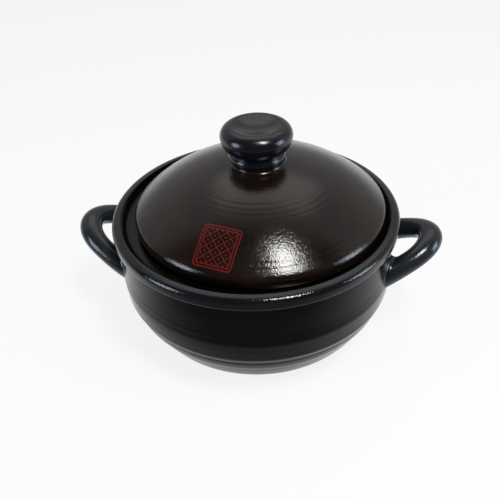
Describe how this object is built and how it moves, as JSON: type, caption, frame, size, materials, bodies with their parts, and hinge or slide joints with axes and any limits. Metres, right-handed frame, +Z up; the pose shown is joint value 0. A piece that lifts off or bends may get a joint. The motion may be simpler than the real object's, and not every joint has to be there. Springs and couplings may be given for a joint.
{
  "type": "earthenware casserole pot",
  "caption": "Round earthenware casserole with a rolled rim, pulled loop handles and a loose domed lid with a turned knob, in a dark satin glaze.",
  "frame": {"origin": "middle of the foot ring's resting face, on the turning axis of the pot", "axes": "+Z up along the turning axis, +X through the middle of one loop handle, the picture's front towards -Y"},
  "size_m": [0.3006, 0.2306, 0.1823],
  "materials": {
    "pot_glaze": "dark brown-black glaze, satin, with a bare fired foot ring",
    "lid_glaze": "dark brown-black glaze, satin"
  },
  "bodies": {
    "root": {"pot": "pot_glaze", "lid": "lid_glaze"}
  },
  "joints": []
}
